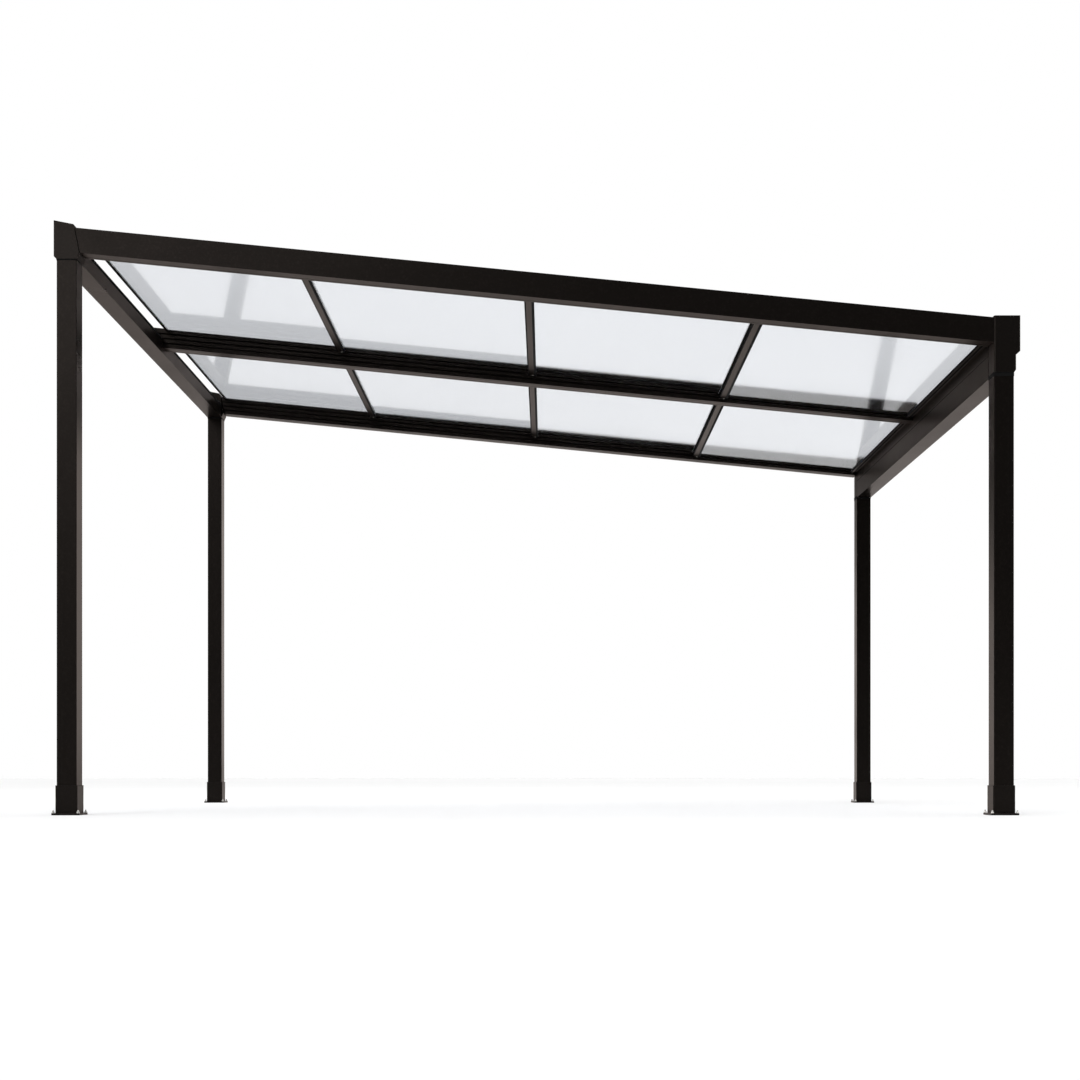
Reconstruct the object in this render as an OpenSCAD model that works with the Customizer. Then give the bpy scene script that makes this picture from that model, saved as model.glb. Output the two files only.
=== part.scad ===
/* [Overall] */
// Width across the outer faces of the posts, down the fall of the roof
cover_width = 4788; // [3000:1:6000]
// Depth from the front faces to the rear faces of the posts
cover_depth = 2970; // [2200:1:4500]
// Clear height under the high beam
high_clearance = 2781; // [2500:1:3400]
// Fall of the roof in degrees
roof_pitch = 5.57; // [3:0.01:7]
/* [Posts and feet] */
// Width of a post and of both beams, down the fall of the roof
post_width = 100; // [80:1:130]
// Depth of a post
post_depth = 82; // [70:1:130]
// Radius of a post's corners
post_round = 3; // [1:0.5:5]
// Wall of a post
post_wall = 2.5; // [2:0.1:4]
// Distance that a foot plate reaches past its post
foot_reach = 20; // [17:0.5:30]
// Thickness of a foot plate
foot_plate = 10; // [8:0.5:14]
// Height of a foot's sleeve above the ground
foot_height = 149; // [90:1:220]
// Wall of a foot's sleeve
foot_wall = 5; // [3:0.1:6]
// Radius of an anchor hole
anchor_radius = 4.5; // [3:0.1:5]
/* [Beams] */
// Height of the high beam's box
high_beam_height = 95; // [70:1:120]
// Height of the wall flange above the high beam's box
flange_height = 88; // [60:1:110]
// Height of the gutter beam's lower box
gutter_box_height = 112; // [80:1:125]
// Distance that the trough stands out past the posts
trough_reach = 22; // [10:1:40]
// Height of the trough's outer wall above the lower box
trough_height = 170; // [120:1:190]
// Drop of the gutter beam's underside below the rafters
gutter_drop = 162; // [125:1:190]
// Wall of both beams
beam_wall = 3; // [2:0.1:5]
// Width of the shadow line along the gutter beam's inner face
shadow_line = 5; // [2:0.5:8]
/* [Rafters] */
// Height of a rafter, square to the roof
rafter_height = 124; // [115:1:150]
// Width of an edge rafter's box
edge_box_width = 51; // [40:1:70]
// Width of the middle rafter's box
middle_box_width = 34; // [24:1:60]
// Wall of a rafter
rafter_wall = 2.5; // [2:0.1:4]
// Height of the rafters' underside above the high beam's underside
rafter_lift = 32; // [20:1:60]
/* [Tracks and panels] */
// Height of the lowest track above a rafter's underside
lowest_track = 24; // [16:0.5:30]
// Height of a rafter above its highest track
top_margin = 14.5; // [10:0.5:20]
// Reach of a track's ledge from the rafter's box
ledge_reach = 21; // [16:0.5:30]
// Thickness of a ledge
ledge_wall = 3; // [2:0.1:4]
// Wall of the fascia that hangs from a ledge's edge
fascia_wall = 2.5; // [1.5:0.5:4]
// Room above a panel in its track
panel_play = 3; // [2:0.5:6]
// Thickness of a roof panel
panel_thickness = 6; // [4:0.5:10]
// Width of a panel's bearing on a ledge
panel_bearing = 15; // [8:0.5:15]
/* [Rails] */
// Width of a step rail's box
rail_box_width = 32; // [24:1:50]
// Reach of a rail's flanges
rail_flange = 12; // [8:0.5:18]
// Wall of a rail
rail_wall = 2; // [1.5:0.1:2.5]
// Distance from the high beam to the upper panels
top_slot = 17; // [8:0.5:40]
// Distance from the last panels to the gutter beam
drip_length = 24; // [20:1:80]
// Length that the highest panels lack against the middle ones
top_panel_trim = 92; // [0:1:200]
// Length that the lowest panels lack against the middle ones
low_panel_trim = 30; // [0:1:200]
/* [Corner castings] */
// Distance that a high cap reaches past its post, down to the joint with its rafter
cap_shoulder = 13.5; // [11:0.5:30]
// Width of the open joints between the castings and the edge rafters
joint_gap = 6; // [2:0.5:10]
// Distance that a high cap stands out past its post
cap_reach = 15; // [8:0.5:20]
// Distance that a low bracket stands out past its post
bracket_reach = 32; // [28:0.5:40]
// Height of a low bracket's upper block
bracket_block = 176; // [150:1:200]
// Radius of the castings' upright corners
casting_round = 7; // [4:0.5:9]
// Wall of the castings beside a post
casting_wall = 4; // [3:0.1:6]
// Depth of the spigot that a casting holds in a rafter
spigot_length = 60; // [30:1:100]

/* [Hidden] */
$fn = 48;

frame_black = [0.16, 0.14, 0.13];
casting_black = [0.20, 0.18, 0.17];
rail_bronze = [0.36, 0.33, 0.31];
panel_clear = [0.85, 0.88, 0.92, 0.45];

front = -1;
rear = 1;
seat_gap = 0.3;

// The widest overhangs lie evenly on both sides of the origin.
side_shift = (max(foot_reach, cap_reach) - bracket_reach) / 2;
high_outer = side_shift - cover_width / 2;
low_outer = side_shift + cover_width / 2;
high_post_x = high_outer + post_width / 2;
low_post_x = low_outer - post_width / 2;
high_inner = high_outer + post_width;
low_inner = low_outer - post_width;
post_y = cover_depth / 2 - post_depth / 2;
casting_back = cover_depth / 2 - post_depth - casting_wall;
beam_end_y = casting_back - seat_gap;

function rafter_z(x) = high_clearance + rafter_lift - (x - high_inner) * tan(roof_pitch);
function square_rise(height) = height / cos(roof_pitch);
function slope_s(x, level = 0) = (x - level * sin(roof_pitch)) / cos(roof_pitch);

// The panels' levels run from the highest, 1, to the lowest, 4.
panel_count = 4;
track_step = (rafter_height - lowest_track - top_margin) / (panel_count - 1);
track_slot = panel_thickness + panel_play;
function track_level(panel) = lowest_track + (panel_count - panel) * track_step;

gutter_bottom = rafter_z(low_inner) - gutter_drop;
gutter_floor = gutter_bottom + gutter_box_height;
trough_outer = low_outer + trough_reach;
trough_top = gutter_floor + trough_height;
inner_wall_top = rafter_z(low_inner) + square_rise(lowest_track - ledge_wall) - seat_gap;
flange_top = high_clearance + high_beam_height + flange_height;

// The edge rafters meet the high caps on a plane that leans by twice the fall.
cap_lean = 2 * roof_pitch;
cap_foot_x = high_inner + cap_shoulder;
cap_foot_drop = 1;
cap_foot_z = rafter_z(cap_foot_x) - cap_foot_drop;
cap_rise = 18;
cap_top_z = rafter_z(cap_foot_x) + square_rise(rafter_height) + cap_rise;
cap_head_x = cap_foot_x - (cap_top_z - cap_foot_z) * tan(cap_lean);
cap_peak_z = cap_top_z + (cap_head_x - high_outer + cap_reach) * tan(cap_lean);
cap_chamfer = 15;
post_head = 12;

// The low brackets start at their posts' inner faces, where the edge rafters stop.
bracket_rise = 8;
bracket_top = rafter_z(low_inner) + square_rise(rafter_height) + bracket_rise;
bracket_step = bracket_top - bracket_block;
bracket_shoulder = 18;
bracket_chamfer = 14;
bracket_lift = 12.6;
bracket_foot = gutter_bottom + bracket_lift;
sleeve_reach = 11;
sleeve_outer = low_outer + sleeve_reach;
sleeve_rim = 1.3;

// The middle rafter and the drip rails reach this far over the trough.
eave_reach = 30;

track_y_edge = cover_depth / 2 - edge_box_width - ledge_reach;
track_y_middle = middle_box_width / 2 + ledge_reach;
bay_width = track_y_edge - track_y_middle;
bay_y = (track_y_edge + track_y_middle) / 2;

panels_start = slope_s(high_inner + top_slot, track_level(1));
panels_end = slope_s(low_inner - drip_length, track_level(panel_count));
panel_pitch = (panels_end - panels_start + top_panel_trim + low_panel_trim) / panel_count;
function rail_s(index) = panels_start - top_panel_trim + index * panel_pitch;

// Lays a shape on the roof: X runs down the fall, Z stands square to it.
module on_roof() {
    translate([0, 0, rafter_z(0)]) rotate([0, roof_pitch, 0]) children();
}

// Turns an outline drawn in X and Z into a solid of the given length along Y.
module along_y(from_y, to_y) {
    translate([0, to_y, 0]) rotate([90, 0, 0]) linear_extrude(to_y - from_y) children();
}

// Repeats a front piece at the rear.
module at_side(side) {
    if (side == rear) mirror([0, 1, 0]) children();
    else children();
}

module rounded_rectangle(width, depth, radius) {
    square([width - 2 * radius, depth], center = true);
    square([width, depth - 2 * radius], center = true);
    for (a = [-1, 1], b = [-1, 1])
        translate([a * (width / 2 - radius), b * (depth / 2 - radius)]) circle(r = radius);
}

// An upright tube with rounded outer corners round a rectangular core.
module upright_tube(width, depth, wall, radius, height) {
    linear_extrude(height) difference() {
        rounded_rectangle(width, depth, radius);
        square([width - 2 * wall, depth - 2 * wall], center = true);
    }
}

module post(x, side, top_z) {
    color(frame_black) translate([x, side * post_y, foot_plate])
        upright_tube(post_width, post_depth, post_wall, post_round, top_z - foot_plate);
}

// A base plate with a sleeve round the post, its upper rim and the plate's edge chamfered.
module foot(x, side) {
    wall = foot_wall + seat_gap;
    sleeve_width = post_width + 2 * wall;
    sleeve_depth = post_depth + 2 * wall;
    plate_width = post_width + 2 * foot_reach;
    plate_depth = post_depth + 2 * foot_reach;
    hole_offset = (wall + foot_reach) / 2;
    chamfer = 2;
    color(casting_black) translate([x, side * post_y, 0]) difference() {
        union() {
            linear_extrude(foot_plate) rounded_rectangle(plate_width, plate_depth, post_round);
            intersection() {
                upright_tube(sleeve_width, sleeve_depth, foot_wall, foot_wall, foot_height);
                along_y(-sleeve_depth, sleeve_depth) chamfered_top(sleeve_width, foot_height, chamfer);
                rotate([0, 0, 90]) along_y(-sleeve_width, sleeve_width)
                    chamfered_top(sleeve_depth, foot_height, chamfer);
            }
        }
        for (a = [-1, 1], b = [-1, 1])
            translate([a * (post_width / 2 + hole_offset), b * (post_depth / 2 + hole_offset), -1])
                cylinder(h = foot_plate + 2, r = anchor_radius);
    }
}

// An upright outline of the given width, with its two upper corners cut off.
module chamfered_top(width, height, chamfer) {
    polygon([
        [-width / 2, 0], [width / 2, 0], [width / 2, height - chamfer],
        [width / 2 - chamfer, height], [chamfer - width / 2, height], [-width / 2, height - chamfer]
    ]);
}

// The high beam is a box with a wall flange that stands on its outer edge.
module high_beam() {
    box_top = high_clearance + high_beam_height;
    lip = 12;
    color(frame_black) along_y(-beam_end_y, beam_end_y) difference() {
        union() {
            translate([high_outer, high_clearance]) square([post_width, high_beam_height]);
            translate([high_outer, box_top]) square([beam_wall, flange_height]);
            translate([high_outer, flange_top - beam_wall]) square([lip, beam_wall]);
        }
        translate([high_outer + beam_wall, high_clearance + beam_wall])
            square([post_width - 2 * beam_wall, high_beam_height - 2 * beam_wall]);
    }
}

// The gutter beam is a box with an open trough above it, one extrusion.
module gutter_beam() {
    lip = 10;
    line_back = 1.2;
    line_lift = 1;
    line_depth = beam_wall - line_back;
    line_z = gutter_floor + beam_wall + line_lift;
    color(frame_black) along_y(-beam_end_y, beam_end_y) difference() {
        polygon([
            [low_inner, gutter_bottom],
            [low_outer, gutter_bottom],
            [low_outer, gutter_floor - trough_reach],
            [trough_outer, gutter_floor],
            [trough_outer, trough_top],
            [trough_outer - lip, trough_top],
            [trough_outer - lip, trough_top - beam_wall],
            [trough_outer - beam_wall, trough_top - beam_wall],
            [trough_outer - beam_wall, gutter_floor + beam_wall],
            [low_inner + beam_wall, gutter_floor + beam_wall],
            [low_inner + beam_wall, inner_wall_top],
            [low_inner, inner_wall_top],
            [low_inner, line_z + shadow_line],
            [low_inner + line_depth, line_z + shadow_line],
            [low_inner + line_depth, line_z],
            [low_inner, line_z]
        ]);
        polygon([
            [low_inner + beam_wall, gutter_bottom + beam_wall],
            [low_outer - beam_wall, gutter_bottom + beam_wall],
            [low_outer - beam_wall, gutter_floor - trough_reach],
            [trough_outer - 2 * beam_wall, gutter_floor - beam_wall],
            [low_inner + beam_wall, gutter_floor - beam_wall]
        ]);
    }
}

// One track side of a rafter: a chamber under the lowest ledge, and ledges with hanging fascias.
module tracks() {
    seam = 3;
    seam_edge = 1;
    difference() {
        square([ledge_reach, lowest_track]);
        translate([0, ledge_wall]) square([ledge_reach - fascia_wall, lowest_track - 2 * ledge_wall]);
        translate([seam_edge, -ledge_wall]) square([seam, ledge_wall * 2]);
    }
    for (panel = [1:panel_count - 1]) translate([0, track_level(panel)]) {
        translate([0, -ledge_wall]) square([ledge_reach, ledge_wall]);
        translate([ledge_reach - fascia_wall, track_slot - track_step])
            square([fascia_wall, track_step - track_slot]);
    }
}

// The rafter's section: a box with tracks on one side or on both.
module rafter_section(box_width, both_sides) {
    difference() {
        square([box_width, rafter_height]);
        translate([rafter_wall, rafter_wall])
            square([box_width - 2 * rafter_wall, rafter_height - 2 * rafter_wall]);
    }
    translate([box_width, 0]) tracks();
    if (both_sides) mirror([1, 0]) tracks();
}

// Runs a section down the roof between two places.
module down_roof(from_s, to_s) {
    translate([from_s, 0, 0]) rotate([90, 0, 90]) linear_extrude(to_s - from_s) children();
}

module edge_rafter(side) {
    run_from = slope_s(high_outer);
    run_to = slope_s(low_outer);
    reach = rafter_height * 2;
    color(frame_black) at_side(side) intersection() {
        translate([0, -cover_depth / 2, 0]) on_roof() down_roof(run_from, run_to)
            rafter_section(edge_box_width, false);
        along_y(-cover_depth, cover_depth) polygon([
            [cap_foot_x + joint_gap + reach * tan(cap_lean), cap_foot_z - reach],
            [low_inner - joint_gap, cap_foot_z - cover_width * tan(roof_pitch) - reach],
            [low_inner - joint_gap, cap_foot_z + reach],
            [cap_foot_x + joint_gap - reach * tan(cap_lean), cap_foot_z + reach]
        ]);
    }
}

// The middle rafter is notched over the high beam's box and the gutter's inner wall.
module middle_rafter() {
    run_from = slope_s(high_outer);
    run_to = slope_s(low_outer);
    box_top = high_clearance + high_beam_height + seat_gap;
    deep = gutter_bottom;
    color(frame_black) intersection() {
        translate([0, -middle_box_width / 2, 0]) on_roof() down_roof(run_from, run_to)
            rafter_section(middle_box_width, true);
        along_y(-cover_depth, cover_depth) polygon([
            [high_outer + beam_wall + seat_gap, box_top],
            [high_inner + seat_gap, box_top],
            [high_inner + seat_gap, deep],
            [low_inner - seat_gap, deep],
            [low_inner - seat_gap, inner_wall_top + seat_gap],
            [low_inner + eave_reach, inner_wall_top + seat_gap],
            [low_inner + eave_reach, box_top + rafter_height],
            [high_outer + beam_wall + seat_gap, flange_top - beam_wall - seat_gap]
        ]);
    }
}

// A hollow tongue that fills an edge rafter's box between two places.
module spigot(from_x, to_x) {
    inset = rafter_wall + seat_gap;
    wide = edge_box_width - 2 * inset;
    high = rafter_height - 2 * inset;
    translate([0, inset - cover_depth / 2, 0]) on_roof() down_roof(slope_s(from_x), slope_s(to_x))
        translate([0, inset]) difference() {
            square([wide, high]);
            translate([casting_wall, casting_wall])
                square([wide - 2 * casting_wall, high - 2 * casting_wall]);
        }
}

// The high cap's outline, pulled in by a wall.
module cap_outline(wall) {
    polygon([
        [high_outer - cap_reach + wall, cap_peak_z - wall],
        [cap_head_x - wall, cap_top_z - wall],
        [cap_foot_x - wall, cap_foot_z + wall],
        [high_inner, high_clearance + wall],
        [high_outer, high_clearance + wall],
        [high_outer - cap_reach + wall, high_clearance + cap_chamfer + wall]
    ]);
}

// The plan of a casting: its outer upright corners are rounded, from one X to another.
module casting_plan(from_x, to_x) {
    depth = post_depth + 2 * casting_wall;
    translate([(from_x + to_x) / 2, depth / 2 - cover_depth / 2 - casting_wall, 0])
        linear_extrude(high_clearance + cover_depth)
            rounded_rectangle(to_x - from_x, depth, casting_round);
}

// A casting that caps the post and holds the beam's end and the rafter's end.
module high_cap(side) {
    y_front = -cover_depth / 2 - casting_wall;
    fit = 2 * seat_gap;
    reach = rafter_height * 2;
    root = joint_gap;
    color(casting_black) at_side(side) {
        difference() {
            intersection() {
                along_y(y_front, -casting_back) cap_outline(0);
                casting_plan(high_outer - cap_reach, cap_foot_x + post_width);
            }
            along_y(y_front + casting_wall, -casting_back - casting_wall) intersection() {
                cap_outline(casting_wall);
                translate([high_outer - cap_reach, high_post_top()])
                    square([post_width + 2 * cap_reach, rafter_height * 2]);
            }
            translate([high_post_x, -post_y, high_clearance - 1])
                linear_extrude(high_post_top() - high_clearance + 1 + seat_gap)
                    square([post_width + fit, post_depth + fit], center = true);
        }
        intersection() {
            spigot(high_outer, cap_foot_x + spigot_length);
            along_y(-cover_depth, cover_depth) polygon([
                [cap_foot_x - root + reach * tan(cap_lean), cap_foot_z - reach],
                [cap_foot_x + cover_width, cap_foot_z - reach],
                [cap_foot_x + cover_width, cap_foot_z + reach],
                [cap_foot_x - root - reach * tan(cap_lean), cap_foot_z + reach]
            ]);
        }
    }
}

function high_post_top() = cap_foot_z + (cap_shoulder - 2 * casting_wall) / tan(cap_lean) - post_head;

// A casting that wraps the low post on three sides and closes the gutter's end.
module low_bracket(side) {
    y_front = -cover_depth / 2 - casting_wall;
    fit = 2 * seat_gap;
    root = casting_round;
    color(casting_black) at_side(side) difference() {
        union() {
            spigot(low_inner - spigot_length, low_inner + root);
            intersection() {
                along_y(y_front, -casting_back) polygon([
                    [low_inner, bracket_top],
                    [low_outer + bracket_reach, bracket_top],
                    [low_outer + bracket_reach, bracket_step],
                    [sleeve_outer, bracket_step - bracket_shoulder],
                    [low_inner, bracket_step - bracket_shoulder]
                ]);
                casting_plan(low_inner, low_outer + bracket_reach);
            }
            intersection() {
                along_y(y_front, -casting_back) polygon([
                    [low_inner, bracket_step - bracket_shoulder],
                    [sleeve_outer, bracket_step - bracket_shoulder],
                    [sleeve_outer, bracket_foot + bracket_chamfer],
                    [low_outer + sleeve_rim, bracket_foot],
                    [low_inner, bracket_foot]
                ]);
                casting_plan(low_inner, sleeve_outer);
            }
        }
        translate([low_post_x, -post_y, bracket_foot - 1])
            linear_extrude(low_post_top() - bracket_foot + 1 + seat_gap)
                square([post_width + fit, post_depth + fit], center = true);
    }
}

function low_post_top() = bracket_top - post_head - bracket_rise;

module roof_panel(side, index) {
    overlap = 4;
    start = index == 1 ? panels_start + rail_wall + seat_gap
        : rail_s(index - 1) + rail_box_width / 2 + seat_gap;
    end = index == panel_count ? panels_end - seat_gap : rail_s(index) + rail_box_width / 2 + overlap;
    width = bay_width + 2 * panel_bearing;
    color(panel_clear) at_side(side) translate([0, -bay_y - width / 2, 0]) on_roof()
        translate([start, 0, track_level(index)]) cube([end - start, width, panel_thickness]);
}

// A step rail carries the upper panel on its top and the lower panel on its flange.
module step_rail(side, index) {
    low = track_level(index + 1) - ledge_wall;
    high = track_level(index);
    length = bay_width - 2 * seat_gap;
    color(rail_bronze) at_side(side) translate([0, -bay_y, 0]) on_roof()
        translate([rail_s(index), 0, 0]) along_y(-length / 2, length / 2) difference() {
            union() {
                translate([-rail_box_width / 2, low]) square([rail_box_width, high - low]);
                translate([-rail_box_width / 2 - rail_flange, high - ledge_wall])
                    square([rail_flange + 1, ledge_wall]);
                translate([rail_box_width / 2 - 1, low]) square([rail_flange + 1, ledge_wall]);
            }
            translate([rail_wall - rail_box_width / 2, low + rail_wall])
                square([rail_box_width - 2 * rail_wall, high - low - 2 * rail_wall]);
        }
}

// A channel that closes the upper end of the highest panel.
module top_rail(side) {
    depth = 18;
    low = track_level(1) - rail_wall;
    high = track_level(1) + panel_thickness + seat_gap;
    length = bay_width - 2 * seat_gap;
    color(rail_bronze) at_side(side) translate([0, -bay_y, 0]) on_roof()
        translate([panels_start, 0, 0]) along_y(-length / 2, length / 2) difference() {
            translate([0, low]) square([depth, high - low + rail_wall]);
            translate([rail_wall, track_level(1)]) square([depth, high - track_level(1)]);
        }
}

// A plate that carries the lowest panel's end out over the trough, notched round the bracket.
module drip_rail(side) {
    back = 15;
    lip_width = 11;
    lip_drop = 8;
    stop = 6;
    reach = slope_s(low_inner + eave_reach) - panels_end;
    low = track_level(panel_count) - ledge_wall;
    length = bay_width - 2 * seat_gap;
    notch = track_y_edge - beam_end_y;
    notch_s = slope_s(low_inner - seat_gap, low + ledge_wall + stop) - panels_end;
    color(rail_bronze) at_side(side) translate([0, -bay_y, 0]) on_roof()
        translate([panels_end, 0, 0]) difference() {
            along_y(-length / 2, length / 2) {
                translate([-back, low]) square([back + reach, ledge_wall]);
                translate([-back, low - lip_drop]) square([lip_width, lip_drop + ledge_wall]);
                translate([0, low]) square([rail_wall, ledge_wall + stop]);
            }
            translate([notch_s, -length / 2 - 1, low - 1])
                cube([reach, notch + 1, ledge_wall + stop + 2]);
        }
}

post(high_post_x, front, high_post_top());  // post_front_high
post(high_post_x, rear, high_post_top());  // post_rear_high
post(low_post_x, front, low_post_top());  // post_front_low
post(low_post_x, rear, low_post_top());  // post_rear_low
foot(high_post_x, front);  // foot_front_high
foot(high_post_x, rear);  // foot_rear_high
foot(low_post_x, front);  // foot_front_low
foot(low_post_x, rear);  // foot_rear_low
high_beam();
gutter_beam();
edge_rafter(front);  // rafter_front
middle_rafter();  // rafter_middle
edge_rafter(rear);  // rafter_rear
high_cap(front);  // high_cap_front
high_cap(rear);  // high_cap_rear
low_bracket(front);  // low_bracket_front
low_bracket(rear);  // low_bracket_rear
roof_panel(front, 1);  // roof_panel_front_1
roof_panel(front, 2);  // roof_panel_front_2
roof_panel(front, 3);  // roof_panel_front_3
roof_panel(front, 4);  // roof_panel_front_4
roof_panel(rear, 1);  // roof_panel_rear_1
roof_panel(rear, 2);  // roof_panel_rear_2
roof_panel(rear, 3);  // roof_panel_rear_3
roof_panel(rear, 4);  // roof_panel_rear_4
step_rail(front, 1);  // step_rail_front_1
step_rail(front, 2);  // step_rail_front_2
step_rail(front, 3);  // step_rail_front_3
step_rail(rear, 1);  // step_rail_rear_1
step_rail(rear, 2);  // step_rail_rear_2
step_rail(rear, 3);  // step_rail_rear_3
top_rail(front);  // top_rail_front
top_rail(rear);  // top_rail_rear
drip_rail(front);  // drip_rail_front
drip_rail(rear);  // drip_rail_rear
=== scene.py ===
"""Looks for an attached patio cover: a powder coated frame under clear stepped roof panels."""

import math

import bmesh
import bpy
from mathutils import Matrix, Vector


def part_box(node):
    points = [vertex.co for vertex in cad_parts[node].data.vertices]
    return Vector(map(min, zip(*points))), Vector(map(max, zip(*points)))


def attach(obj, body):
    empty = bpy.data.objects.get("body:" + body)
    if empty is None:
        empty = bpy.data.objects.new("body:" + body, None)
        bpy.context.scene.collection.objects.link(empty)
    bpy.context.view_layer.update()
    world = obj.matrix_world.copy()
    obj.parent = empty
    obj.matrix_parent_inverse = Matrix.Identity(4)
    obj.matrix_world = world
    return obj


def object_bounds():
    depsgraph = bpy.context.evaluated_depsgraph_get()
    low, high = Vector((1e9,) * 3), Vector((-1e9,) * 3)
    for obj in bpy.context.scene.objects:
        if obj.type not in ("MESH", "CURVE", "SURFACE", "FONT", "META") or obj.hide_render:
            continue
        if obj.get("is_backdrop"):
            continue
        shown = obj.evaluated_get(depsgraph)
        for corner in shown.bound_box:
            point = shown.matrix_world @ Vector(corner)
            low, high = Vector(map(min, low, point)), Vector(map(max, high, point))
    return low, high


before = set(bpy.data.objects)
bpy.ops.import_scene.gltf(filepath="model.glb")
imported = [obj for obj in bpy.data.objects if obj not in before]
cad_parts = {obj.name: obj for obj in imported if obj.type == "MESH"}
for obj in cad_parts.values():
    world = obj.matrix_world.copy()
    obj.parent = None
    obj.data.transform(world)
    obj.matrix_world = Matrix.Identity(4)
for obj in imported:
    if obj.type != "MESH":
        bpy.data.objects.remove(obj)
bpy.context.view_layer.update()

MM = 0.001
SIDES = ("front", "rear")
ENDS = ("high", "low")
PANEL_COUNT = 4

# The roof plane, as the part's own values give it.
ROOF_PITCH = math.radians(5.57)
RAFTER_LIFT = 32 * MM
BEAM_WIDTH = 100 * MM
BEARING = 15 * MM

high_beam_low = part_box("high_beam")[0]
roof_line_x = high_beam_low.x + BEAM_WIDTH
roof_height = high_beam_low.z + RAFTER_LIFT + roof_line_x * math.tan(ROOF_PITCH)
roof_to_world = Matrix.Translation((0, 0, roof_height)) @ Matrix.Rotation(ROOF_PITCH, 4, "Y")
world_to_roof = roof_to_world.inverted()


def roof_box(node):
    """Lowest and highest corner of a CAD node, measured along and square to the roof."""
    points = [world_to_roof @ v.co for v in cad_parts[node].data.vertices]
    low = Vector([min(p[i] for p in points) for i in range(3)])
    high = Vector([max(p[i] for p in points) for i in range(3)])
    return low, high


# Shader groups.


def new_group(name, inputs, outputs):
    """An empty node group with float, vector or colour sockets, and its two end nodes."""
    group = bpy.data.node_groups.new(name, "ShaderNodeTree")
    for label, kind, value in inputs:
        socket = group.interface.new_socket(label, in_out="INPUT", socket_type=kind)
        if value is not None:
            socket.default_value = value
    for label, kind in outputs:
        group.interface.new_socket(label, in_out="OUTPUT", socket_type=kind)
    return group, group.nodes.new("NodeGroupInput"), group.nodes.new("NodeGroupOutput")


def noise(group, vector, scale, detail, rough=0.5):
    """The value of a noise texture."""
    node = group.nodes.new("ShaderNodeTexNoise")
    group.links.new(vector, node.inputs["Vector"])
    for label, number in (("Scale", scale), ("Detail", detail), ("Roughness", rough)):
        node.inputs[label].default_value = number
    return node.outputs["Fac"]


def remap(group, value, from_low, from_high, to_low, to_high):
    """A value carried from one range to another and held at its ends."""
    node = group.nodes.new("ShaderNodeMapRange")
    labels = ("From Min", "From Max", "To Min", "To Max")
    for label, number in zip(labels, (from_low, from_high, to_low, to_high)):
        node.inputs[label].default_value = number
    group.links.new(value, node.inputs["Value"])
    return node.outputs["Result"]


def feed(group, socket, value):
    """Links a socket to another one, or sets it to a plain value."""
    if isinstance(value, bpy.types.NodeSocket):
        group.links.new(value, socket)
    else:
        socket.default_value = value


def mix_node(group, kind, factor, first, second):
    """A mix node for Color or Float sockets, and its result."""
    node = group.nodes.new("ShaderNodeMix")
    node.data_type = "RGBA" if kind == "Color" else "FLOAT"
    sockets = {s.identifier: s for s in node.inputs}
    feed(group, sockets["Factor_Float"], factor)
    feed(group, sockets[f"A_{kind}"], first)
    feed(group, sockets[f"B_{kind}"], second)
    return node, next(s for s in node.outputs if s.identifier == f"Result_{kind}")


def blend_colour(group, factor, first, second, kind="MIX"):
    """A colour between two others, or one laid on the other."""
    node, result = mix_node(group, "Color", factor, first, second)
    node.blend_type = kind
    return result


def blend_number(group, factor, first, second):
    """A number between two others."""
    return mix_node(group, "Float", factor, first, second)[1]


def calculate(group, operation, first, second):
    """The result of a math node."""
    node = group.nodes.new("ShaderNodeMath")
    node.operation = operation
    feed(group, node.inputs[0], first)
    feed(group, node.inputs[1], second)
    return node.outputs["Value"]


CLOUD_TONE = (0.5, 0.5, 0.5, 1)
FLECK_TONE = (0.030, 0.025, 0.022, 1)
PEEL_DEPTH = 0.4 * MM


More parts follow.
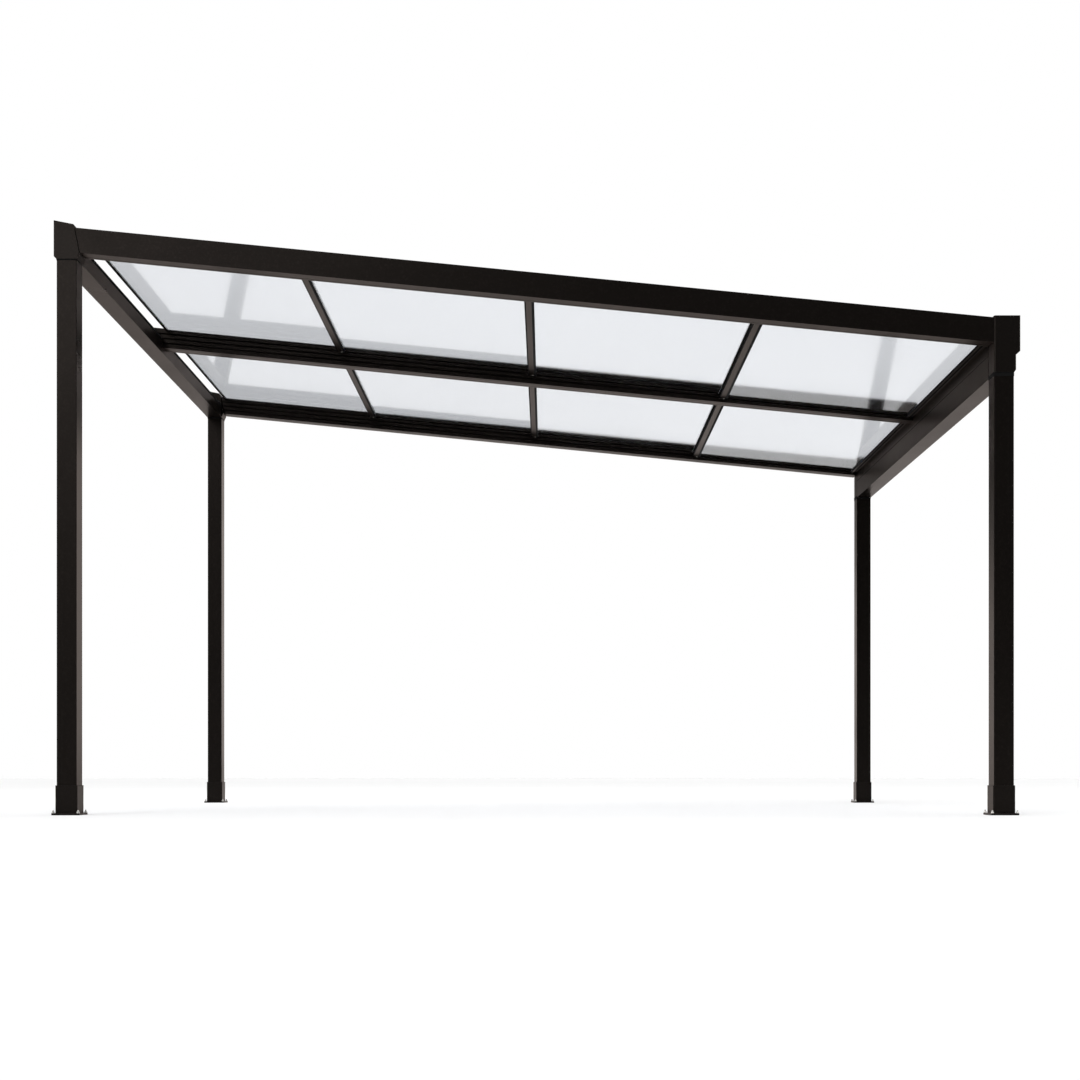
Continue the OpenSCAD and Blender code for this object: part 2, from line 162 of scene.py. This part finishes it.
def powder_coat_group():
    """Baked powder coat: a fine orange peel, grains that catch light, cloudy tone and settled dust."""
    group, start, end = new_group(
        "powder_coat",
        [
            ("Place", "NodeSocketVector", None),
            ("Colour", "NodeSocketColor", (0.02, 0.02, 0.02, 1)),
            ("Dust Colour", "NodeSocketColor", (0.2, 0.19, 0.18, 1)),
            ("Dust", "NodeSocketFloat", 0.1),
            ("Roughness", "NodeSocketFloat", 0.4),
            ("Peel", "NodeSocketFloat", 0.1),
        ],
        [("Colour", "NodeSocketColor"), ("Roughness", "NodeSocketFloat"), ("Normal", "NodeSocketVector")],
    )
    place = start.outputs["Place"]
    cloud = noise(group, place, 1.7, 3)
    grain = noise(group, place, 1400, 2, 0.7)
    peel = noise(group, place, 420, 2)
    fleck = noise(group, place, 90, 4, 0.6)

    cloudy = remap(group, cloud, 0.35, 0.65, 0, 0.35)
    tone = blend_colour(group, cloudy, start.outputs["Colour"], CLOUD_TONE, "MULTIPLY")
    flecks = remap(group, fleck, 0.50, 0.70, 0, 0.16)
    flecked = blend_colour(group, flecks, tone, FLECK_TONE, "LIGHTEN")

    geometry = group.nodes.new("ShaderNodeNewGeometry")
    facing = group.nodes.new("ShaderNodeSeparateXYZ")
    group.links.new(geometry.outputs["Normal"], facing.inputs["Vector"])
    upward = remap(group, facing.outputs["Z"], 0.55, 1, 0, 1)
    patch = remap(group, noise(group, place, 6, 5), 0.35, 0.7, 0.25, 1)
    lying = calculate(group, "MULTIPLY", upward, patch)
    settled = calculate(group, "MULTIPLY", lying, start.outputs["Dust"])
    dusty = blend_colour(group, settled, flecked, start.outputs["Dust Colour"])
    group.links.new(dusty, end.inputs["Colour"])

    wander = remap(group, cloud, 0.3, 0.7, -0.04, 0.05)
    spread = calculate(group, "ADD", start.outputs["Roughness"], wander)
    dulled = calculate(group, "ADD", spread, calculate(group, "MULTIPLY", settled, 0.4))
    group.links.new(dulled, end.inputs["Roughness"])

    height = calculate(group, "ADD", peel, calculate(group, "MULTIPLY", grain, 0.35))
    bump = group.nodes.new("ShaderNodeBump")
    bump.inputs["Distance"].default_value = PEEL_DEPTH
    group.links.new(start.outputs["Peel"], bump.inputs["Strength"])
    group.links.new(height, bump.inputs["Height"])
    group.links.new(bump.outputs["Normal"], end.inputs["Normal"])
    return group


def new_material(name, **sockets):
    """A material with a Principled shader, its object coordinates and plain socket values."""
    material = bpy.data.materials.new(name)
    material.use_nodes = True
    tree = material.node_tree
    shader = tree.nodes["Principled BSDF"]
    for label, value in sockets.items():
        shader.inputs[label.replace("_", " ")].default_value = value
    place = tree.nodes.new("ShaderNodeTexCoord").outputs["Object"]
    return material, tree, shader, place


powder_coat = powder_coat_group()


def coated(name, colour, roughness, peel, dust, specular):
    """A powder coated metal."""
    material, tree, shader, place = new_material(
        name, Metallic=0.6, Specular_IOR_Level=specular, Specular_Tint=(0.72, 0.64, 0.60, 1)
    )
    coat = tree.nodes.new("ShaderNodeGroup")
    coat.node_tree = powder_coat
    values = {"Colour": (*colour, 1), "Roughness": roughness, "Peel": peel, "Dust": dust}
    for label, value in values.items():
        coat.inputs[label].default_value = value
    tree.links.new(place, coat.inputs["Place"])
    for label, target in (("Colour", "Base Color"), ("Roughness", "Roughness"), ("Normal", "Normal")):
        tree.links.new(coat.outputs[label], shader.inputs[target])
    return material


def clear_sheet(name):
    """Clear glazing with a faint cool tint and the thinnest film of dust."""
    material, tree, shader, place = new_material(
        name, Base_Color=(0.772, 0.792, 0.828, 1), IOR=1.39, Transmission_Weight=1.0
    )
    film = remap(tree, noise(tree, place, 3.0, 6, 0.6), 0.35, 0.7, 0.06, 0.085)
    tree.links.new(film, shader.inputs["Roughness"])
    return material


def mottled(name, tones, tone_grain, tone_range, rough_grain, rough_range, **sockets):
    """A material whose colour and roughness each wander between two values."""
    material, tree, shader, place = new_material(name, **sockets)
    first, second = [(*tone, 1) for tone in tones]
    tone = remap(tree, noise(tree, place, *tone_grain), *tone_range)
    tree.links.new(blend_colour(tree, tone, first, second), shader.inputs["Base Color"])
    rough = remap(tree, noise(tree, place, *rough_grain), 0.3, 0.7, *rough_range)
    tree.links.new(rough, shader.inputs["Roughness"])
    return material


frame_finish = coated(
    "frame_powder_coat", (0.0090, 0.0074, 0.0065), roughness=0.30, peel=0.12, dust=0.10, specular=0.10
)
casting_finish = coated(
    "casting_powder_coat", (0.0098, 0.0082, 0.0073), roughness=0.34, peel=0.2, dust=0.12, specular=0.11
)
rail_finish = coated(
    "rail_powder_coat", (0.0140, 0.0112, 0.0095), roughness=0.32, peel=0.1, dust=0.08, specular=0.12
)
panel_finish = clear_sheet("clear_panel_sheet")
# Black rubber for the real gaskets and seals; the same material also paints shade in the gutter groove,
# along the top of the high beam, under the drip plates and in the collars under the brackets.
black_rubber_and_shade = mottled(
    "black_rubber_and_shade", ((0.0025, 0.0025, 0.0025), (0.008, 0.008, 0.008)),
    tone_grain=(60, 4), tone_range=(0.3, 0.7, 0, 0.4),
    rough_grain=(300, 3), rough_range=(0.6, 0.85), Specular_IOR_Level=0.06,
)
panel_seal = mottled(
    "pale_seal_strip", ((0.86, 0.87, 0.88), (0.74, 0.75, 0.76)),
    tone_grain=(40, 3), tone_range=(0.35, 0.7, 0, 1),
    rough_grain=(150, 2), rough_range=(0.3, 0.45), Specular_IOR_Level=0.5, Subsurface_Weight=0.2,
)
zinc_steel = mottled(
    "zinc_plated_steel", ((0.50, 0.49, 0.46), (0.36, 0.35, 0.34)),
    tone_grain=(130, 4, 0.6), tone_range=(0.35, 0.7, 0, 1),
    rough_grain=(700, 3), rough_range=(0.28, 0.46), Metallic=1.0,
)

FINISHES = {
    "post": frame_finish,
    "foot": casting_finish,
    "high_beam": frame_finish,
    "gutter": frame_finish,
    "rafter": frame_finish,
    "high_cap": casting_finish,
    "low_bracket": casting_finish,
    "roof_panel": panel_finish,
    "step_rail": rail_finish,
    "top_rail": rail_finish,
    "drip_rail": rail_finish,
}
for name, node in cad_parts.items():
    finish = next(FINISHES[kind] for kind in FINISHES if name.startswith(kind))
    node.data.materials.clear()
    node.data.materials.append(finish)


# New pieces.


def add_piece(name, shape, finish):
    """Turns a bmesh into a piece that rides on the frame."""
    bmesh.ops.recalc_face_normals(shape, faces=shape.faces)
    mesh = bpy.data.meshes.new(name)
    shape.to_mesh(mesh)
    shape.free()
    mesh.materials.append(finish)
    mesh.shade_smooth()
    mesh.set_sharp_from_angle(angle=math.radians(35))
    piece = bpy.data.objects.new(name, mesh)
    bpy.context.scene.collection.objects.link(piece)
    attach(piece, "root")


def bevel_edges(shape, edges, width, segments):
    """Rounds some edges of a bmesh."""
    bmesh.ops.bevel(
        shape, geom=edges, offset=width, offset_type="OFFSET", affect="EDGES",
        segments=segments, profile=0.5, material=-1,
    )


def drum(shape, radius, height, sides, base_z):
    """A closed drum that stands on base_z."""
    made = bmesh.ops.create_cone(
        shape, cap_ends=True, segments=sides, radius1=radius, radius2=radius, depth=height,
        matrix=Matrix.Translation((0, 0, base_z + height / 2)),
    )
    return made["verts"]


def edges_at(verts, height):
    """The edges of a drum that lie at one height."""
    return list({
        e for v in verts for e in v.link_edges
        if all(abs(w.co.z - height) < 1e-6 for w in e.verts)
    })


def fastener(shape, across, head, washer_radius, washer, stud=0.0, stud_radius=0.0):
    """A washer, a chamfered hexagon and, where it is a nut, the end of its stud, all on z 0."""
    disc = drum(shape, washer_radius, washer, 28, 0)
    bevel_edges(shape, edges_at(disc, washer), washer * 0.35, 2)
    hexagon = drum(shape, across / math.sqrt(3), head, 6, washer)
    bevel_edges(shape, edges_at(hexagon, washer + head), across * 0.07, 2)
    if stud:
        end = drum(shape, stud_radius, stud, 20, washer + head)
        bevel_edges(shape, edges_at(end, washer + head + stud), stud_radius * 0.25, 2)


def stamped(make, places):
    """Copies of one small shape at several places, each a matrix."""
    single = bmesh.new()
    make(single)
    stamp = bpy.data.meshes.new("stamp")
    single.to_mesh(stamp)
    single.free()
    many = bmesh.new()
    for place in places:
        stamp.transform(place)
        many.from_mesh(stamp)
        stamp.transform(place.inverted())
    bpy.data.meshes.remove(stamp)
    return many


# The anchor bolts through each foot plate.
PLATE_TOP = 10 * MM
HOLE_INSET = 7.35 * MM
ANCHOR_NUT = {
    "across": 12 * MM, "head": 6.5 * MM,
    "washer_radius": 7 * MM, "washer": 1.6 * MM,
    "stud": 7 * MM, "stud_radius": 4 * MM,
}

for side in SIDES:
    for end in ENDS:
        low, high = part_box(f"foot_{side}_{end}")
        bolts = stamped(lambda shape: fastener(shape, **ANCHOR_NUT), [
            Matrix.Translation((x, y, PLATE_TOP))
            for x in (low.x + HOLE_INSET, high.x - HOLE_INSET)
            for y in (low.y + HOLE_INSET, high.y - HOLE_INSET)
        ])
        add_piece(f"anchor_bolts_{side}_{end}", bolts, zinc_steel)


# The screws that hold the high beam's flange to the wall.
WALL_SCREWS = 6
WALL_SCREW_REACH = 0.45
FLANGE_WALL = 3 * MM
FLANGE_SCREW_DROP = 44 * MM
WALL_SCREW = {"across": 13 * MM, "head": 6 * MM, "washer_radius": 11 * MM, "washer": 2 * MM}

beam_low, beam_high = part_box("high_beam")
reach = (beam_high.y - beam_low.y) * WALL_SCREW_REACH
screws = stamped(lambda shape: fastener(shape, **WALL_SCREW), [
    Matrix.Translation((
        beam_low.x + FLANGE_WALL,
        -reach + 2 * reach * i / (WALL_SCREWS - 1),
        beam_high.z - FLANGE_SCREW_DROP,
    )) @ Matrix.Rotation(math.radians(90), 4, "Y")
    for i in range(WALL_SCREWS)
])
add_piece("wall_screws", screws, zinc_steel)


# The pale strip that beds each panel, along the edge of the clear window under it.
SEAL_WIDTH = 3 * MM
SEAL_DEPTH = 2.2 * MM


def panel_window(side, index):
    """The clear rectangle under a panel, in roof coordinates, and the panel's underside."""
    panel_low, panel_high = roof_box(f"roof_panel_{side}_{index}")
    upper = f"top_rail_{side}" if index == 1 else f"step_rail_{side}_{index - 1}"
    lower = f"drip_rail_{side}" if index == PANEL_COUNT else f"step_rail_{side}_{index}"
    return (
        Vector((roof_box(upper)[1].x, panel_low.y + BEARING, panel_low.z)),
        Vector((roof_box(lower)[0].x, panel_high.y - BEARING, panel_low.z)),
    )


def seal_ring(low, high, width, depth):
    """A strip along a rectangle's edge. Known fault: the inset gives it no width, so it is only
    a thin wall of the given depth, and no inner edge is found to round."""
    ring = bmesh.new()
    corners = [ring.verts.new((x, y, low.z)) for x, y in (
        (low.x, low.y), (high.x, low.y), (high.x, high.y), (low.x, high.y))]
    middle = ring.faces.new(corners)
    bmesh.ops.inset_region(
        ring, faces=[middle], thickness=width, use_boundary=True, use_even_offset=True
    )
    bmesh.ops.delete(ring, geom=[middle], context="FACES_ONLY")
    made = bmesh.ops.extrude_face_region(ring, geom=ring.faces[:])
    dropped = [g for g in made["geom"] if isinstance(g, bmesh.types.BMVert)]
    bmesh.ops.translate(ring, verts=dropped, vec=(0, 0, -depth))
    inner = [
        e for e in ring.edges
        if all(v in dropped for v in e.verts)
        and all(low.x + width / 2 < v.co.x < high.x - width / 2 for v in e.verts)
        and all(low.y + width / 2 < v.co.y < high.y - width / 2 for v in e.verts)
        and len(e.link_faces) == 2
    ]
    bevel_edges(ring, inner, width * 0.4, 3)
    bmesh.ops.transform(ring, matrix=roof_to_world, verts=ring.verts)
    return ring


for side in SIDES:
    for index in range(1, PANEL_COUNT + 1):
        low, high = panel_window(side, index)
        seal = seal_ring(low, high, SEAL_WIDTH, SEAL_DEPTH)
        add_piece(f"panel_seal_{side}_{index}", seal, panel_seal)


# The black gaskets that hold each panel's long edges down in their tracks.
GASKET_LAP = 5 * MM
GASKET_GAP = 6 * MM
GASKET_RISE = 3.5 * MM
GASKET_ROUND = 0.8 * MM
GASKET_INSET = 2 * MM
PANEL_THICKNESS = 6 * MM


def edge_gasket(start, finish, edge_y, inward, base_z):
    """A rubber strip beside and over one long edge of a panel."""
    outer_y = edge_y - inward * GASKET_GAP
    lap_y = edge_y + inward * GASKET_LAP
    top_z = base_z + PANEL_THICKNESS
    outline = [
        (outer_y, base_z), (edge_y, base_z), (edge_y, top_z), (lap_y, top_z),
        (lap_y, top_z + GASKET_RISE * 0.4), (outer_y, top_z + GASKET_RISE),
    ]
    strip = bmesh.new()
    ring = [strip.verts.new((start, y, z)) for y, z in outline]
    section = strip.faces.new(ring)
    made = bmesh.ops.extrude_face_region(strip, geom=[section])
    moved = [g for g in made["geom"] if isinstance(g, bmesh.types.BMVert)]
    bmesh.ops.translate(strip, verts=moved, vec=(finish - start, 0, 0))
    upper = [
        e for e in strip.edges
        if all(v.co.z > top_z + GASKET_RISE * 0.2 for v in e.verts)
        and abs(e.verts[0].co.x - e.verts[1].co.x) > MM
    ]
    bevel_edges(strip, upper, GASKET_ROUND, 3)
    bmesh.ops.transform(strip, matrix=roof_to_world, verts=strip.verts)
    return strip


for side in SIDES:
    for index in range(1, PANEL_COUNT + 1):
        low, high = roof_box(f"roof_panel_{side}_{index}")
        near, far = ("outer", "inner") if side == "front" else ("inner", "outer")
        for place, edge_y, inward in ((near, low.y, 1), (far, high.y, -1)):
            gasket = edge_gasket(low.x + GASKET_INSET, high.x - GASKET_INSET, edge_y, inward, low.z)
            add_piece(f"edge_gasket_{side}_{index}_{place}", gasket, black_rubber_and_shade)


# The black strips along the rails, seen from below as dark edges beside each rail.
RAIL_HALF = 16 * MM
LEDGE_WALL = 3 * MM
STRIP_DEPTH = 1.8 * MM
STRIP_LAP = 2 * MM
STRIP_EASE = 0.5 * MM
WEB_STRIP_WIDTH = 5 * MM
WEB_STRIP_HEIGHT = 4 * MM
DRIP_STRIP_WIDTH = 6 * MM
DRIP_STRIP_LIFT = 1 * MM
DRIP_STRIP_TOP = 7 * MM
DRIP_LIP = 11 * MM
LIP_DROP = 8 * MM
UNDER_PLATE = 17 * MM
EASE = 0.3 * MM


def block(shape, low, high, ease):
    """A block between two corners, with its edges eased."""
    middle = (Vector(low) + Vector(high)) / 2
    size = Vector(high) - Vector(low)
    made = bmesh.ops.create_cube(
        shape, size=1, matrix=Matrix.Translation(middle) @ Matrix.Diagonal((*size, 1))
    )
    edges = list({e for v in made["verts"] for e in v.link_edges})
    bevel_edges(shape, edges, ease, 2)


def roof_strips(name, corners):
    """Rubber strips laid square to the roof, as one piece."""
    shape = bmesh.new()
    for low, high in corners:
        block(shape, low, high, STRIP_EASE)
    bmesh.ops.transform(shape, matrix=roof_to_world, verts=shape.verts)
    add_piece(name, shape, black_rubber_and_shade)


for side in SIDES:
    for index in range(1, PANEL_COUNT):
        low, high = roof_box(f"step_rail_{side}_{index}")
        middle = (low.x + high.x) / 2
        web = middle - RAIL_HALF
        lap = middle + RAIL_HALF - STRIP_LAP
        upper = high.z - LEDGE_WALL
        roof_strips(f"rail_seals_{side}_{index}", [
            ((lap, low.y, low.z - STRIP_DEPTH), (high.x - EASE, high.y, low.z)),
            ((low.x + EASE, low.y, upper - STRIP_DEPTH), (web, high.y, upper)),
            ((web - WEB_STRIP_WIDTH, low.y, low.z), (web, high.y, low.z + WEB_STRIP_HEIGHT)),
        ])

    low, high = roof_box(f"drip_rail_{side}")
    lip_back = low.x + DRIP_LIP
    plate = low.z + LIP_DROP
    # Black rubber strips on the drip rail; the one under its plate is painted shade, darkening the
    # plate's underside as its shadow would.
    roof_strips(f"drip_seals_and_shade_{side}", [
        (
            (low.x - DRIP_STRIP_WIDTH, low.y, low.z + DRIP_STRIP_LIFT),
            (low.x, high.y, low.z + DRIP_STRIP_TOP),
        ),
        ((lip_back, low.y, plate - STRIP_DEPTH), (lip_back + UNDER_PLATE, high.y, plate)),
    ])


# The screws that hold each rail's two ends up to the rafters' tracks.
SCREW_RADIUS = 4.6 * MM
SCREW_HEAD = 2.6 * MM
SCREW_ROUND = 1.2 * MM
SOCKET_RIM = 1.6 * MM
SOCKET_DEPTH = 1.2 * MM
SCREW_OFFSET = 7 * MM
SCREW_INSET = 9 * MM


def rail_screw(shape):
    """A pan head with a socket, hanging from z 0."""
    head = drum(shape, SCREW_RADIUS, SCREW_HEAD, 24, -SCREW_HEAD)
    bevel_edges(shape, edges_at(head, -SCREW_HEAD), SCREW_ROUND, 3)
    face = min(shape.faces, key=lambda f: f.calc_center_median().z)
    bmesh.ops.inset_region(shape, faces=[face], thickness=SOCKET_RIM)
    bmesh.ops.translate(shape, verts=face.verts[:], vec=(0, 0, SOCKET_DEPTH))


for side in SIDES:
    places = []
    for index in range(1, PANEL_COUNT):
        low, high = roof_box(f"step_rail_{side}_{index}")
        screw_x = (low.x + high.x) / 2 + SCREW_OFFSET
        places += [
            roof_to_world @ Matrix.Translation((screw_x, y, low.z))
            for y in (low.y + SCREW_INSET, high.y - SCREW_INSET)
        ]
    add_piece(f"rail_screws_{side}", stamped(rail_screw, places), zinc_steel)


# The rubber rings under the caps and the low brackets. The tall collar under each bracket is partly
# painted shade, a black band where the recessed neck lies in shade.
POST_ROUND = 3 * MM
CAP_RING = 5 * MM
CAP_GASKET = 2.2 * MM
COLLAR = 20.5 * MM
COLLAR_GASKET = 1.6 * MM


def rounded_loop(shape, half_x, half_y, radius, z, steps=5):
    """A loop of corners round a rectangle with rounded corners."""
    points = []
    for corner, (a, b) in enumerate(((1, 1), (-1, 1), (-1, -1), (1, -1))):
        for step in range(steps + 1):
            angle = math.radians(90 * (corner + step / steps))
            points.append(shape.verts.new((
                a * (half_x - radius) + radius * math.cos(angle),
                b * (half_y - radius) + radius * math.sin(angle), z)))
    return points


def post_ring(post, thickness, low_z, high_z):
    """A rubber ring round a post."""
    low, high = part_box(post)
    centre = (low + high) / 2
    half_x, half_y = (high.x - low.x) / 2, (high.y - low.y) / 2
    shape = bmesh.new()
    lip = thickness * 0.4
    inner = [rounded_loop(shape, half_x, half_y, POST_ROUND, z) for z in (low_z, high_z)]
    loops = [inner[0]]
    for grow, z in ((thickness - lip, low_z), (thickness, low_z + lip), (thickness, high_z)):
        loops.append(rounded_loop(shape, half_x + grow, half_y + grow, POST_ROUND + grow, z))
    loops.append(inner[1])
    for first, second in zip(loops, loops[1:] + loops[:1]):
        for i in range(len(first)):
            j = (i + 1) % len(first)
            shape.faces.new((first[i], first[j], second[j], second[i]))
    bmesh.ops.translate(shape, verts=shape.verts, vec=(centre.x, centre.y, 0))
    return shape


for side in SIDES:
    cap_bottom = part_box(f"high_cap_{side}")[0].z
    gasket = post_ring(f"post_{side}_high", CAP_GASKET, cap_bottom - CAP_RING, cap_bottom)
    add_piece(f"cap_gasket_{side}", gasket, black_rubber_and_shade)
    # Painted shade in part: the tall black collar darkens the recessed neck under the bracket.
    sleeve_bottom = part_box(f"low_bracket_{side}")[0].z
    collar = post_ring(f"post_{side}_low", COLLAR_GASKET, sleeve_bottom - COLLAR, sleeve_bottom)
    add_piece(f"bracket_collar_and_shade_{side}", collar, black_rubber_and_shade)


# A black rubber strip in the gutter beam's shadow-line groove: painted shade, making the shallow groove
# read as a dark line.
LINE_LIFT = 116 * MM
LINE_WIDTH = 5 * MM
LINE_BACK = 1.8 * MM
LINE_FACE = 0.6 * MM
gutter_low, gutter_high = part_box("gutter_beam")
line_low_z = gutter_low.z + LINE_LIFT
line = bmesh.new()
block(
    line,
    (gutter_low.x + LINE_FACE, gutter_low.y + MM, line_low_z),
    (gutter_low.x + LINE_BACK, gutter_high.y - MM, line_low_z + LINE_WIDTH),
    EASE,
)
add_piece("gutter_groove_painted_shade", line, black_rubber_and_shade)


# A black strip along the top of the high beam's inner face: painted shade, standing in for the shadow and
# dark reflection that fall under the roof's edge there.
BOX_HEIGHT = 95 * MM
SHADE_STRIP_HEIGHT = 18 * MM
SHADE_STRIP_THICKNESS = 1.6 * MM
SHADE_STRIP_EASE = 0.4 * MM
box_top = beam_low.z + BOX_HEIGHT
shade_strip = bmesh.new()
block(
    shade_strip,
    (roof_line_x, beam_low.y + MM, box_top - SHADE_STRIP_HEIGHT),
    (roof_line_x + SHADE_STRIP_THICKNESS, beam_high.y - MM, box_top - MM),
    SHADE_STRIP_EASE,
)
add_piece("high_beam_shade_strip", shade_strip, black_rubber_and_shade)


# Stage, light and camera.

FRONT_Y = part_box("post_front_high")[0].y
CAMERA_DISTANCE = 6.5
CAMERA_HEIGHT = 0.2035
CAMERA_X = 0.0575


def studio_floor():
    """A plain pale floor, far wider than the view."""
    shape = bmesh.new()
    bmesh.ops.create_circle(shape, cap_ends=True, segments=96, radius=60)
    mesh = bpy.data.meshes.new("studio_floor")
    shape.to_mesh(mesh)
    shape.free()
    floor = bpy.data.objects.new("studio_floor", mesh)
    bpy.context.scene.collection.objects.link(floor)
    material, tree, shader, place = new_material(
        "studio_floor_paint", Roughness=0.9, Specular_IOR_Level=0.2,
        Emission_Color=(1, 1, 1, 1)
    )
    depth = tree.nodes.new("ShaderNodeLightPath").outputs["Glossy Depth"]
    tree.links.new(remap(tree, depth, 1, 2, 0.12, 0.0), shader.inputs["Emission Strength"])
    tint = blend_colour(tree, noise(tree, place, 0.6, 3), (0.76, 0.76, 0.76, 1), (0.79, 0.79, 0.79, 1))
    tree.links.new(tint, shader.inputs["Base Color"])
    mesh.materials.append(material)
    floor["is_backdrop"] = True


def studio_surround():
    """A white backdrop. What the frame mirrors is bright near the floor and dim higher up,
    and behind the camera it is bright on the left and dim on the right."""
    world = bpy.data.worlds.new("studio_surround")
    bpy.context.scene.world = world
    world.use_nodes = True
    tree = world.node_tree
    background = tree.nodes["Background"]
    parts = tree.nodes.new("ShaderNodeSeparateXYZ")
    place = tree.nodes.new("ShaderNodeTexCoord").outputs["Generated"]
    tree.links.new(place, parts.inputs["Vector"])
    across, along, up = parts.outputs

    overhead = remap(tree, up, 0.45, 0.8, 0.0, 0.8)
    both_ends = remap(tree, calculate(tree, "ABSOLUTE", across, 0.0), 0.6, 0.95, 0.0, 1.6)
    slant = calculate(tree, "SUBTRACT", up, calculate(tree, "MULTIPLY", across, 0.25))
    low_band = remap(tree, slant, 0.16, 0.27, 1.8, 0.05)
    key = tree.nodes.new("ShaderNodeVectorMath")
    key.operation = "DOT_PRODUCT"
    key.inputs[1].default_value = (-0.473, -0.710, 0.521)
    tree.links.new(place, key.inputs[0])
    key_glow = remap(tree, key.outputs["Value"], 0.90, 0.99, 0.08, 5.5)
    sides = blend_number(tree, remap(tree, along, -0.25, 0.25, 0, 1), key_glow, low_band)
    mirrored = calculate(tree, "ADD", sides, calculate(tree, "MAXIMUM", overhead, both_ends))

    path = tree.nodes.new("ShaderNodeLightPath")
    bounced = calculate(tree, "MINIMUM", path.outputs["Glossy Depth"], 1.0)
    unmirrored = calculate(tree, "SUBTRACT", 1.0, bounced)
    through = calculate(tree, "MULTIPLY", path.outputs["Is Transmission Ray"], unmirrored)
    direct = calculate(tree, "MAXIMUM", path.outputs["Is Camera Ray"], through)
    tree.links.new(blend_number(tree, direct, mirrored, 1.0), background.inputs["Strength"])
    background.inputs["Color"].default_value = (1, 1, 1, 1)


def soft_light(name, place, aim, size, power):
    """A rectangular light that faces a point."""
    light = bpy.data.lights.new(name, "AREA")
    light.shape = "RECTANGLE"
    light.size, light.size_y = size
    light.energy = power
    lamp = bpy.data.objects.new(name, light)
    lamp.location = place
    lamp.rotation_euler = (Vector(aim) - Vector(place)).to_track_quat("-Z", "Y").to_euler()
    bpy.context.scene.collection.objects.link(lamp)


def photo_camera():
    """The photograph's view: level, low and square to the front, with a shifted lens."""
    lens = bpy.data.cameras.new("photo_camera")
    lens.sensor_width = 36
    lens.lens = 43.33
    lens.shift_x = -0.0074
    lens.shift_y = 0.2171
    lens.clip_end = 200
    camera = bpy.data.objects.new("photo_camera", lens)
    camera.location = (CAMERA_X, FRONT_Y - CAMERA_DISTANCE, CAMERA_HEIGHT)
    camera.rotation_euler = (math.radians(90), 0, 0)
    bpy.context.scene.collection.objects.link(camera)
    bpy.context.scene.camera = camera


studio_floor()
studio_surround()
soft_light("overhead_softbox", (0, 2, 9), (0, 0, 0), (9, 7), 330)
photo_camera()
bpy.context.scene.view_settings.view_transform = "Standard"

low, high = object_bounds()
